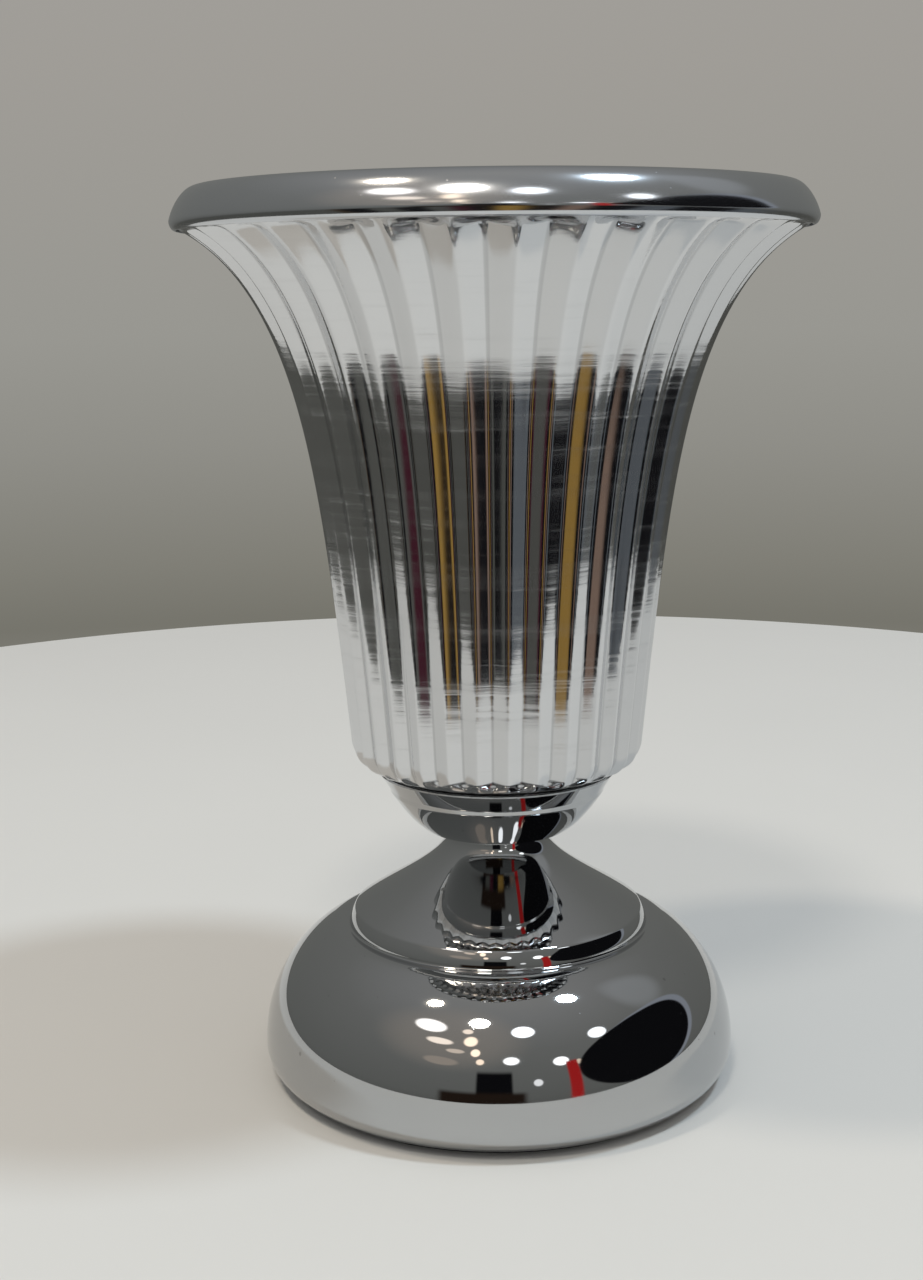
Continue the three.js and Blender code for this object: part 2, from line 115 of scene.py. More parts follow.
class VaseSizes(bpy.types.PropertyGroup):
    """Sizes of the visible pieces."""

    flutes: bpy.props.IntProperty(
        name="Flutes", description="Number of flutes round the body", default=32, min=8, max=64
    )
    columns: bpy.props.IntProperty(
        name="Columns", description="Mesh columns across each flute", default=16, min=4, max=24
    )
    flute_depth: length("Flute depth", "Depth of the flutes low on the body", 1.25)
    mouth_depth: length("Depth at mouth", "Depth of the flutes at the mouth", 2.1)
    crispness: share("Crispness", "How flat the sides of a flute are", 0.95)
    flute_start: length("Flute start", "Height over which the flutes begin at the bottom", 2.6)
    flute_end: length("Flute end", "Height over which the flutes fade under the hoop", 2.2)
    body_wall: length("Body wall", "Thickness of the fluted body", 1.5)
    floor_radius: length("Floor radius", "Flat floor of the body, outside", 28.2)
    corner_rise: length("Corner rise", "Height of the turned corner at the floor", 6.0)
    corner_lean: length("Corner lean", "How far the corner's pull lies inside the wall", 1.0)
    taper: share("Taper", "Outward lean of the straight part for each unit of height", 0.09)
    flare_reach: length("Flare reach", "How far the flare leaves the straight part", 22.8)
    flare_length: length("Flare length", "Height that thins the flare by a factor of e", 24.4)
    lip_reach: length("Lip reach", "Extra outward turn at the edge of the flare", 3.9)
    lip_length: length("Lip length", "Height that thins the lip by a factor of e", 5.0)
    flange_height: length("Flange height", "Upright edge inside the hoop", 5.4)
    flange_lean: length("Flange lean", "How far the upright edge leans in", 1.35)
    sheet: length("Sheet", "Thickness of the hoop's sheet", 1.0)
    pressing: length("Pressing", "Thickness of the collar's and foot's sheet", 1.2)
    hoop_roll_width: length("Roll width", "Half width of the hoop's rolled lower edge", 1.6)
    hoop_roll_height: length("Roll height", "Half height of the hoop's rolled lower edge", 2.2)
    hoop_foot: length("Face lean", "How far the low part of the hoop's face leans in", 0.6)
    hoop_shoulder: length("Hoop shoulder", "How far the top of the face leans in", 3.4)
    hoop_lean: length("Hoop lean", "How far the hoop's top lies inside its widest line", 6.3)
    hoop_corner: length("Hoop corner", "Rounding of the hoop's inner top edge", 1.4)
    hoop_inner_lip: length("Inner lip", "How far the hoop's inner wall comes down", 7.4)
    collar_floor: length("Collar floor", "Flat floor of the collar, outside", 18.4)
    waist_radius: length("Waist radius", "Radius where the collar's band meets its bowl", 26.8)
    waist_height: length("Waist height", "Height of that line over the collar's floor", 9.6)
    collar_edge: length("Collar edge", "Rounding of the collar's top edge", 0.3)
    collar_flange: length("Collar flange", "Width of the flat flange under the body", 8.5)
    foot_roll: length("Foot roll", "Radius of the foot's rolled edge", 8.0)
    foot_level: length("Foot level", "Height of the foot's widest line over its edge", 7.2)
    dome_width: length("Dome width", "Half width of the dome's oval line", 29.8)
    dome_rise: length("Dome rise", "Half height of the dome's oval line", 32.2)
    dome_end: length("Dome end", "Radius where the dome meets the groove's crest", 43.0)
    neck_radius: length("Neck radius", "Radius of the cone's upper end", 12.7)
    neck_seat: length("Neck seat", "Flat top of the neck, outside", 12.1)
    rod_hole: length("Rod hole", "Radius of the holes on the axis", 4.4)


class VaseColours(bpy.types.PropertyGroup):
    """Colours of the metals and of the plain stage."""

    aluminium: colour("Aluminium", "Polished body", (0.71, 0.72, 0.735))
    chrome: colour("Chrome", "Collar and foot", (0.51, 0.52, 0.53))
    hoop: colour("Hoop", "Chrome of the hoop", (0.62, 0.64, 0.67))
    pit: colour("Pits", "Small pits and dust on the chrome", (0.16, 0.15, 0.14))
    rubber: colour("Rubber", "Pad, seal and gasket", (0.028, 0.028, 0.03))
    zinc: colour("Zinc plate", "Rod, nuts and washers", (0.55, 0.57, 0.6))
    iron: colour("Cast iron", "Weight in the foot", (0.13, 0.13, 0.135))
    fibre: colour("Fibre", "Washer under the collar", (0.32, 0.14, 0.085))
    floor: colour("Floor", "Pale round floor", (0.7, 0.69, 0.665))


# Meshes


def bare_points(curve):
    """Points without those that fall on the one before."""
    kept = [curve[0]]
    for point in curve[1:]:
        if math.dist(point, kept[-1]) > SAME_PLACE:
            kept.append(point)
    return kept


def bend(start, pull, end, steps):
    """Points of a curve that leaves start and reaches end along the lines to pull."""
    points = []
    for i in range(steps + 1):
        t = i / steps
        a, b, c = (1 - t) ** 2, 2 * t * (1 - t), t * t
        points.append(tuple(a * p + b * q + c * r for p, q, r in zip(start, pull, end)))
    return points


def long_bend(start, first, second, end, steps):
    """Points of a curve with a pull at each end."""
    points = []
    for i in range(steps + 1):
        t = i / steps
        a, b, c, d = (1 - t) ** 3, 3 * t * (1 - t) ** 2, 3 * t * t * (1 - t), t**3
        four = zip(start, first, second, end)
        points.append(tuple(a * p + b * q + c * r + d * s for p, q, r, s in four))
    return points


def arc(centre, width, height, first, last, steps):
    """Points of an elliptic arc from one angle to another."""
    angles = [first + (last - first) * i / steps for i in range(steps + 1)]
    return [(centre[0] + width * math.cos(a), centre[1] + height * math.sin(a)) for a in angles]


def rounded_ring(inner, outer, bottom, top, edge):
    """Closed outline of a ring with rounded edges."""
    quarter = math.pi / 2
    corners = (
        ((outer - edge, bottom + edge), -quarter),
        ((outer - edge, top - edge), 0),
        ((inner + edge, top - edge), quarter),
        ((inner + edge, bottom + edge), 2 * quarter),
    )
    points = []
    for centre, first in corners:
        points += arc(centre, edge, edge, first, first + quarter, 4)
    return points + points[:1]


def deselect():
    """Leaves edit mode and selects nothing."""
    if bpy.context.mode != "OBJECT":
        bpy.ops.object.mode_set(mode="OBJECT")
    bpy.ops.object.select_all(action="DESELECT")


def first_point(name, point):
    """A new mesh in edit mode that holds one vertex, at a radius and a height."""
    deselect()
    bpy.ops.mesh.primitive_plane_add(size=MM, enter_editmode=True)
    piece = bpy.context.object
    piece.name = name
    piece.data.name = name
    bpy.ops.mesh.merge(type="CENTER")
    bpy.ops.transform.translate(value=(point[0], 0, point[1]))
    return piece


def turned(name, outline, steps, slices=16):
    """A piece turned from its outline of (radius, height) points: one slice, copied round."""
    points = bare_points(outline)
    piece = first_point(name, points[0])
    for (r0, z0), (r1, z1) in zip(points, points[1:]):
        move = {"value": (r1 - r0, 0, z1 - z0)}
        bpy.ops.mesh.extrude_vertices_move(TRANSFORM_OT_translate=move)
    bpy.ops.mesh.select_all(action="SELECT")
    slice_angle = 2 * math.pi / slices
    bpy.ops.mesh.spin(
        steps=steps // slices, angle=slice_angle, center=(0, 0, 0), axis=(0, 0, 1)
    )
    bpy.ops.object.mode_set(mode="OBJECT")
    copy_round(piece, slices)
    bpy.ops.object.mode_set(mode="EDIT")
    bpy.ops.mesh.select_all(action="SELECT")
    bpy.ops.mesh.remove_doubles(threshold=SAME_PLACE)
    bpy.ops.mesh.normals_make_consistent(inside=False)
    bpy.ops.object.mode_set(mode="OBJECT")
    face_outwards(piece)
    return piece


def copy_round(piece, count):
    """Repeats a slice round the axis and joins the slices."""
    deselect()
    bpy.ops.object.empty_add(rotation=(0, 0, 2 * math.pi / count))
    step = bpy.context.object
    bpy.context.view_layer.objects.active = piece
    apply(
        piece,
        "ARRAY",
        count=count,
        use_relative_offset=False,
        use_object_offset=True,
        offset_object=step,
        use_merge_vertices=True,
        use_merge_vertices_cap=True,
        merge_threshold=SEAM_REACH,
    )
    bpy.data.objects.remove(step)


def face_outwards(piece):
    """Turns the faces over if the widest one looks towards the axis."""
    widest = max(piece.data.polygons, key=lambda face: math.hypot(face.center.x, face.center.y))
    away = widest.center.x * widest.normal.x + widest.center.y * widest.normal.y
    if away < 0:
        bpy.ops.object.mode_set(mode="EDIT")
        bpy.ops.mesh.select_all(action="SELECT")
        bpy.ops.mesh.flip_normals()
        bpy.ops.object.mode_set(mode="OBJECT")


def apply(piece, kind, **settings):
    """Adds a modifier and applies it."""
    modifier = piece.modifiers.new(kind.title(), kind)
    for name, value in settings.items():
        setattr(modifier, name, value)
    bpy.ops.object.modifier_apply(modifier=modifier.name)


def wall(piece, thickness):
    """Gives an open sheet its thickness, inwards."""
    apply(piece, "SOLIDIFY", thickness=thickness, offset=-1, use_even_offset=True)


def dress(piece, material, nodes, sharp=35):
    """Smooths a finished piece, gives it its metal and puts it in place of its CAD nodes."""
    deselect()
    piece.select_set(True)
    bpy.context.view_layer.objects.active = piece
    bpy.ops.object.shade_smooth_by_angle(angle=math.radians(sharp))
    piece.data.materials.clear()
    piece.data.materials.append(material)
    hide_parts(*nodes)
    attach(piece, "root")


# Materials


class Signal:
    """A number on a socket. Sums on it become Math nodes."""

    def __init__(self, nodes, socket):
        self.nodes = nodes
        self.socket = socket

    def maths(self, operation, first, second=0.0):
        inputs = {0: first, 1: second}
        return self.nodes.add("Math", {"operation": operation}, inputs)

    def __add__(self, other):
        return self.maths("ADD", self, other)

    def __radd__(self, other):
        return self.maths("ADD", other, self)

    def __sub__(self, other):
        return self.maths("SUBTRACT", self, other)

    def __rsub__(self, other):
        return self.maths("SUBTRACT", other, self)

    def __mul__(self, other):
        return self.maths("MULTIPLY", self, other)

    def __truediv__(self, other):
        return self.maths("DIVIDE", self, other)

    def turn(self, other):
        """Angle of the direction whose sine part is self and cosine part other."""
        return self.maths("ARCTAN2", self, other)

    def arcsine(self):
        return self.maths("ARCSINE", self)

    def degrees(self):
        return self.maths("DEGREES", self)

    def sine(self):
        return self.maths("SINE", self)

    def cosine(self):
        return self.maths("COSINE", self)

    def ramp(self, low, high):
        """0 below low, 1 above high, smooth between; low may be the greater."""
        settings = {"interpolation_type": "SMOOTHSTEP", "clamp": True}
        inputs = {"Value": self, "From Min": low, "From Max": high}
        return self.nodes.add("MapRange", settings, inputs)

    def window(self, low, high, edge):
        """1 between low and high, with soft edges."""
        return self.ramp(low - edge, low + edge) * self.ramp(high + edge, high - edge)


class Nodes:
    """A node tree that grows by one method."""

    def __init__(self, tree):
        self.tree = tree

    def add(self, kind, settings=None, inputs=None, output=0):
        """Adds a node with its settings, then its values and links, and gives one output."""
        node = self.tree.nodes.new("ShaderNode" + kind)
        for name, value in (settings or {}).items():
            if name == "stops":
                self.set_stops(node.color_ramp, value)
            else:
                setattr(node, name, value)
        for name, value in (inputs or {}).items():
            self.feed(node.inputs[name], value)
        return Signal(self, node.outputs[output])

    def set_stops(self, ramp, stops):
        """Places the colours of a ramp."""
        while len(ramp.elements) < len(stops):
            ramp.elements.new(1)
        for element, (position, tone) in zip(ramp.elements, stops):
            element.position = position
            element.color = (*tone, 1)

    def feed(self, socket, value):
        """Links a signal to a socket, or sets the socket's own value."""
        if isinstance(value, Signal):
            self.tree.links.new(value.socket, socket)
        elif socket.type == "RGBA" and len(value) == 3:
            socket.default_value = (*value, 1)
        else:
            socket.default_value = value

    def blend(self, mask, first, second):
        """Mixes two colours by a mask."""
        inputs = {0: mask, 6: first, 7: second}
        return self.add("Mix", {"data_type": "RGBA"}, inputs, output=2)

    def bands(self, position, stops):
        """Tones that follow each other along a position from 0 to 1."""
        return self.add("ValToRGB", {"stops": stops}, {"Fac": position})

    def axes(self, vector):
        """The three parts of a vector."""
        return [self.add("SeparateXYZ", {}, {"Vector": vector}, output=name) for name in "XYZ"]

    def own(self):
        """The piece's own coordinates."""
        return self.add("TexCoord", {}, {}, output="Object")

    def place(self, scale):
        """The piece's own coordinates, scaled."""
        return self.add("Mapping", {}, {"Vector": self.own(), "Scale": scale})

    def noise(self, scale, detail=2.0, roughness=0.5):
        """Smooth noise on the piece's own coordinates, with a scale along each axis."""
        place = self.place(scale)
        inputs = {"Vector": place, "Scale": 1.0, "Detail": detail, "Roughness": roughness}
        return self.add("TexNoise", {}, inputs)

    def dots(self, scale, size, kept):
        """A mask of small scattered dots; size is in cells, and kept is how many stay."""
        inputs = {"Vector": self.place((scale, scale, scale)), "Scale": 1.0}
        near = self.add("TexVoronoi", {"feature": "F1"}, inputs, output="Distance")
        chance = self.add("TexVoronoi", {"feature": "F1"}, inputs, output="Color")
        level = self.add("SeparateColor", {}, {"Color": chance})
        return near.ramp(size, size * 0.5) * level.ramp(kept, kept - 0.02)


class Finish(Nodes):
    """One procedural material on a Principled shader."""

    def __init__(self, name, metallic=0.0, **constants):
        self.material = bpy.data.materials.new("vase_" + name)
        self.material.use_nodes = True
        super().__init__(self.material.node_tree)
        self.shader = self.tree.nodes["Principled BSDF"]
        self.shader.inputs["Metallic"].default_value = metallic
        for socket, value in constants.items():
            self.shader.inputs[socket.replace("_", " ")].default_value = value

    def surface(self, base, roughness, height=None, distance=0.0):
        """Links colour, roughness and a relief of this height in metres."""
        self.feed(self.shader.inputs["Base Color"], base)
        self.feed(self.shader.inputs["Roughness"], roughness)
        if height is not None:
            inputs = {"Height": height, "Distance": distance, "Strength": 1.0}
            self.feed(self.shader.inputs["Normal"], self.add("Bump", {}, inputs))
        return self.material


def dimmed(tone, share_left):
    """A colour with this share of its light left."""
    return tuple(share_left * part for part in tone)


def polished_aluminium(tone, flutes):
    """Bright metal with polishing lines round the body, painted shade on one flank of each flute
    and painted shade in the flute valleys.
    """
    finish = Finish("polished_aluminium", metallic=1.0)
    lines = finish.noise((45, 45, 900), detail=2.0)
    threads = finish.noise((110, 110, 3200), detail=1.0)
    bands = finish.noise((14, 14, 300), detail=2.0)
    cloud = finish.noise((30, 30, 45), detail=3.0)
    dull = bands.ramp(0.4, 0.7)
    roughness = 0.07 + dull * 0.05 + lines.ramp(0.5, 0.8) * 0.06 + cloud.ramp(0.5, 0.75) * 0.02
    east, north = finish.axes(finish.own())[:2]
    turn = north.turn(east) * flutes
    # Painted shade: one flank of every flute is darkened in colour, in place of the darker
    # reflections it would show.
    side = turn.sine().ramp(-0.25, 0.25)
    # Painted shade: the bottoms of the flute valleys are darkened in colour.
    valley = turn.cosine().ramp(0.93, 1.0)
    lined = finish.blend(lines.ramp(0.5, 0.8) * 0.5, tone, dimmed(tone, 0.93))
    flank_shaded = finish.blend(side * 0.9, lined, dimmed(tone, 0.86))
    base = finish.blend(valley * 0.55, flank_shaded, dimmed(tone, 0.6))
    height = lines * (0.4 + dull) + threads * 0.05
    return finish.surface(base, roughness, height, distance=1.1e-5)


def chrome(tone, pit, name="chrome", dullest=0.03):
    """Mirror-bright plating with a faint wave, a few wiped smears and small pits."""
    finish = Finish(name, metallic=1.0)
    smear = finish.noise((22, 22, 60), detail=4.0, roughness=0.6)
    spots = finish.dots(150, 0.11, 0.16)
    grains = finish.dots(700, 0.14, 0.04)
    marks = spots * 0.5 + grains * 0.6
    wave = finish.noise((90, 90, 90), detail=1.0)
    roughness = dullest + smear.ramp(0.5, 0.8) * 0.045 + marks * 0.35
    wiped = finish.blend(smear.ramp(0.45, 0.85) * 0.25, tone, dimmed(tone, 0.9))
    base = finish.blend(marks * 0.8, wiped, pit)
    return finish.surface(base, roughness, wave - marks * 0.4, distance=1.5e-5)


def hoop_chrome(tone, pit):
    """Plating a little duller from handling, on the hoop round the mouth."""
    return chrome(tone, pit, "hoop_chrome", 0.12)


def rubber(tone):
    """Matt black rubber with a fine grain and a little dust."""
    finish = Finish("rubber")
    grain = finish.noise((2600, 2600, 2600), detail=2.0)
    dust = finish.noise((160, 160, 160), detail=5.0, roughness=0.65)
    pale = tuple(part * 2.2 + 0.02 for part in tone)
    base = finish.blend(dust.ramp(0.5, 0.8) * 0.6, tone, pale)
    roughness = 0.72 + dust.ramp(0.4, 0.8) * 0.2
    return finish.surface(base, roughness, grain, distance=2e-5)


def zinc_steel(tone):
    """Zinc plate, satin, with turning marks and pale blooms."""
    finish = Finish("zinc_steel", metallic=1.0)
    bloom = finish.noise((260, 260, 260), detail=4.0, roughness=0.6)
    turning = finish.noise((300, 300, 5000), detail=2.0)
    warm = (tone[0] * 1.02, tone[1] * 0.98, tone[2] * 0.84)
    base = finish.blend(bloom.ramp(0.4, 0.7), tone, warm)
    roughness = 0.26 + bloom.ramp(0.35, 0.8) * 0.2 + turning * 0.06
    return finish.surface(base, roughness, turning + bloom * 0.5, distance=8e-6)


def cast_iron(tone):
    """Rough as-cast iron with a skin of dull grey and some rust in the hollows."""
    finish = Finish("cast_iron", metallic=0.6)
    skin = finish.noise((700, 700, 700), detail=6.0, roughness=0.65)
    rust = finish.noise((90, 90, 90), detail=6.0, roughness=0.7)
    brown = (tone[0] * 1.5, tone[1] * 0.85, tone[2] * 0.5)
    base = finish.blend(rust.ramp(0.55, 0.75) * 0.7, tone, brown)
    roughness = 0.6 + skin.ramp(0.3, 0.8) * 0.25
    return finish.surface(base, roughness, skin, distance=1.5e-4)


def fibre(tone):
    """Red-brown pressed fibre with short strands."""
    finish = Finish("fibre")
    strands = finish.noise((900, 2600, 900), detail=4.0, roughness=0.6)
    base = finish.blend(strands.ramp(0.35, 0.7), dimmed(tone, 0.6), tone)
    return finish.surface(base, 0.7 + strands * 0.15, strands, distance=3e-5)


def pale_floor(tone):
    """Plain matt white board with a barely visible mottle."""
    finish = Finish("pale_floor", Specular_IOR_Level=0.2)
    mottle = finish.noise((9, 9, 9), detail=4.0, roughness=0.6)
    base = finish.blend(mottle, dimmed(tone, 0.985), tone)
    return finish.surface(base, 0.5 + mottle * 0.1)


def shared(maker, tone, *others):
    """The material that a maker gives, made once."""
    known = bpy.data.materials.get("vase_" + maker.__name__)
    return known or maker(tuple(tone), *others)


# Outlines


def crest_radius(sizes, height):
    """Radius of the body's crests at a height above its underside."""
    below = top_of("fluted_shell") - sizes.flange_height - bottom_of("fluted_shell") - height
    mouth = reach_of("fluted_shell")
    straight = mouth - sizes.flare_reach - sizes.lip_reach - sizes.taper * below
    flare = sizes.flare_reach * math.exp(-below / sizes.flare_length)
    return straight + flare + sizes.lip_reach * math.exp(-below / sizes.lip_length)


def body_outline(sizes):
    """Crest line of the body: floor, turned corner, tapered wall, flare and upright edge."""
    base = bottom_of("fluted_shell")
    edge = top_of("fluted_shell") - sizes.flange_height - base
    rise = sizes.corner_rise
    wall_radius = crest_radius(sizes, rise)
    floor = [(sizes.rod_hole, 0.0), (sizes.floor_radius * 0.6, 0.0)]
    pull = (wall_radius - sizes.corner_lean, 0.0)
    corner = bend((sizes.floor_radius, 0.0), pull, (wall_radius, rise), 12)
    rows = 44
    heights = [rise + (edge - rise) * (1 - (1 - i / rows) ** 1.6) for i in range(1, rows + 1)]
    skin = [(crest_radius(sizes, height), height) for height in heights]
    mouth = reach_of("fluted_shell")
    flange = [(mouth, edge + 1.5 * MM), (mouth - sizes.flange_lean, edge + sizes.flange_height)]
    return [(r, z + base) for r, z in floor + corner + skin + flange]


def hoop_outline(sizes):
    """Hoop's outer line: rolled lower edge, sloping face, rounded top and inner wall."""
    reach = reach_of("rim_hoop")
    top = top_of("rim_hoop")
    low = bottom_of("rim_hoop") + sizes.hoop_roll_height
    centre = (reach - sizes.hoop_roll_width, low)
    roll = arc(centre, sizes.hoop_roll_width, sizes.hoop_roll_height, -math.pi / 2, 0, 14)
    crown = reach - sizes.hoop_lean
    first = (reach - sizes.hoop_foot, low + 0.38 * (top - low))
    second = (reach - sizes.hoop_shoulder, top + 0.2 * MM)
    face = long_bend((reach, low), first, second, (crown, top), 28)
    inner = crown - sizes.hoop_corner
    corner = bend((crown, top), (inner, top), (inner, top - sizes.hoop_corner), 10)
    return roll + face[1:] + corner[1:] + [(inner, top - sizes.hoop_inner_lip)]


def ring(name, node, inner, edge, material):
    """Makes a washer or gasket with rounded edges, in place of its CAD node."""
    outline = rounded_ring(inner, reach_of(node), bottom_of(node), top_of(node), edge)
    dress(turned(name, outline, 96), material, [node])


class VASE_OT_body(bpy.types.Operator):
    """Turn the body, draw in its flutes and give it a wall"""

    bl_idname = "vase.body"
    bl_label = "Fluted body"

    def execute(self, context):
        sizes, colours = context.scene.vase_sizes, context.scene.vase_colours
        columns = sizes.flutes * sizes.columns
        body = turned("fluted_body", body_outline(sizes), columns, sizes.flutes)
        self.mark_flutes(sizes, body)
        apply(body, "DISPLACE", strength=-sizes.mouth_depth, mid_level=0, vertex_group="flutes")
        body.vertex_groups.clear()
        wall(body, sizes.body_wall)
        metal = shared(polished_aluminium, colours.aluminium, sizes.flutes)
        dress(body, metal, ["fluted_shell"], sharp=40)
        return {"FINISHED"}

    def mark_flutes(self, sizes, body):
        """Weights each vertex by how far its flute draws it in."""
        group = body.vertex_groups.new(name="flutes")
        base = bottom_of("fluted_shell")
        edge = top_of("fluted_shell") - sizes.flange_height - base
        low = crest_radius(sizes, sizes.corner_rise)
        for vertex in body.data.vertices:
            x, y, z = vertex.co
            radius = math.hypot(x, y)
            wave = self.groove(sizes, math.atan2(y, x))
            along = max(0, (radius - low) / (reach_of("fluted_shell") - low))
            depth = sizes.flute_depth + (sizes.mouth_depth - sizes.flute_depth) * along
            start = self.ease((z - base) / sizes.flute_start)
            end = self.ease((edge + base - z) / sizes.flute_end)
            group.add([vertex.index], wave * depth * start * end / sizes.mouth_depth, "REPLACE")

    def groove(self, sizes, angle):
        """0 on a crest and 1 in a valley, with nearly flat sides between."""
        steep = sizes.crispness
        return (1 + math.asin(steep * math.cos(sizes.flutes * angle)) / math.asin(steep)) / 2

    def ease(self, part):
        """0 up to 0, 1 from 1 on, and smooth between."""
        part = min(max(part, 0), 1)
        return part * part * (3 - 2 * part)


class VASE_OT_hoop(bpy.types.Operator):
    """Turn the rolled hoop round the mouth"""

    bl_idname = "vase.hoop"
    bl_label = "Rim hoop"

    def execute(self, context):
        sizes, colours = context.scene.vase_sizes, context.scene.vase_colours
        hoop = turned("mouth_hoop", hoop_outline(sizes), 192)
        wall(hoop, sizes.sheet)
        metal = shared(hoop_chrome, colours.hoop, tuple(colours.pit))
        dress(hoop, metal, ["rim_hoop"])
        return {"FINISHED"}


class VASE_OT_collar(bpy.types.Operator):
    """Turn the bowl-shaped collar, with its floor, waist and flat flange"""

    bl_idname = "vase.collar"
    bl_label = "Collar"

    def execute(self, context):
        sizes, colours = context.scene.vase_sizes, context.scene.vase_colours
        collar = turned("collar_bowl", self.outline(sizes), 160)
        wall(collar, sizes.pressing)
        metal = shared(chrome, colours.chrome, tuple(colours.pit))
        dress(collar, metal, ["collar"], sharp=25)
        return {"FINISHED"}

    def outline(self, sizes):
        """Flat floor, lower band up to the waist, bowl above it and flat flange."""
        base, top, reach = bottom_of("collar"), top_of("collar"), reach_of("collar")
        floor = [(sizes.rod_hole, base), (sizes.collar_floor, base)]
        start = (sizes.collar_floor + 0.4 * MM, base + 0.3 * MM)
        waist = (sizes.waist_radius, base + sizes.waist_height)
        band = bend(start, (22.5 * MM, base + 2.9 * MM), waist, 24)
        step = (waist[0] + 0.12 * MM, waist[1] + 0.7 * MM)
        pull = (reach - 1.45 * MM, top - 2.3 * MM)
        bowl = bend(step, pull, (reach, top - sizes.collar_edge), 12)
        flange = [(reach - sizes.collar_edge, top), (reach - sizes.collar_flange, top)]
        return floor + band + bowl + flange


class VASE_OT_foot(bpy.types.Operator):
    """Turn the foot: rolled edge, dome, groove, rolled shoulder, hollow cone and neck"""

    bl_idname = "vase.foot"
    bl_label = "Foot"

    def execute(self, context):
        sizes, colours = context.scene.vase_sizes, context.scene.vase_colours
        foot = turned("pressed_foot", self.outline(sizes), 224)
        wall(foot, sizes.pressing)
        metal = shared(chrome, colours.chrome, tuple(colours.pit))
        dress(foot, metal, ["foot_shell"], sharp=25)
        return {"FINISHED"}

    def outline(self, sizes):
        """Rolled edge, dome, crest, groove, shoulder, cone and the neck's flat seat."""
        reach, top = reach_of("foot_shell"), top_of("foot_shell")
        roll = sizes.foot_roll
        level = bottom_of("foot_shell") + sizes.foot_level
        under = math.asin(sizes.foot_level / roll)
        edge = arc((reach - roll, level), roll, roll, -under, 0, 12)
        middle = reach - sizes.dome_width
        dome_turn = math.acos((sizes.dome_end - middle) / sizes.dome_width)
        dome = arc((middle, level), sizes.dome_width, sizes.dome_rise, 0, dome_turn, 44)

        def above(radius, height):
            """A point at a radius, and at a height over the end of the dome."""
            return (radius * MM, dome[-1][1] + height * MM)

        low, step, high = above(38, 1.12), above(37.45, 1.62), above(36.08, 5.16)
        crest = long_bend(dome[-1], above(41.2, 1.09), above(39.3, 1.32), low, 12)
        groove = bend(low, above(37.55, 1.07), step, 6)
        shoulder = bend(step, above(37.3, 3.05), high, 16)
        neck = (sizes.neck_radius, top - sizes.pressing)
        cone = long_bend(high, above(29.2, 10.3), above(13.5, 17.4), neck, 60)
        seat = [(sizes.neck_seat, top), (sizes.rod_hole, top)]
        return edge + dome[1:] + crest[1:] + groove[1:] + shoulder[1:] + cone[1:] + seat


class VASE_OT_soft_rings(bpy.types.Operator):
    """Turn the pad, the seal and the gaskets, with rounded edges"""

    bl_idname = "vase.soft_rings"
    bl_label = "Pad and gaskets"

    def execute(self, context):
        sizes, colours = context.scene.vase_sizes, context.scene.vase_colours
        black = shared(rubber, colours.rubber)
        self.pad(black)
        hole = sizes.rod_hole
        ring("floor_seal_ring", "floor_seal", hole, 0.4 * MM, black)
        gasket_hole = reach_of("collar") - sizes.collar_flange
        ring("shell_gasket_ring", "shell_gasket", gasket_hole, 0.25 * MM, black)
        brown = shared(fibre, colours.fibre)
        ring("neck_gasket_ring", "neck_gasket", hole, 0.2 * MM, brown)
        return {"FINISHED"}

    def pad(self, material):
        """A disc with a rounded edge and three shallow moulded rings underneath."""
        reach, top = reach_of("base_pad"), top_of("base_pad")
        relief, low_edge, top_edge = 0.5 * MM, 0.8 * MM, 0.3 * MM
        ring_foot, ring_face, rim = 2 * MM, 1.6 * MM, 48 * MM
        line = [(0.0, relief), (20 * MM, relief)]
        for middle in (24 * MM, 34 * MM, 44 * MM):
            line += [(middle - ring_foot, relief), (middle - ring_face, 0.0)]
            line += [(middle + ring_face, 0.0), (middle + ring_foot, relief)]
        line += [(rim, relief), (rim + ring_foot - ring_face, 0.0)]
        line += arc((reach - low_edge, low_edge), low_edge, low_edge, -math.pi / 2, 0, 5)
        line += [(reach, top - top_edge), (reach - top_edge, top), (0.0, top)]
        pad = turned("rubber_pad", line, 128)
        dress(pad, material, ["base_pad"])


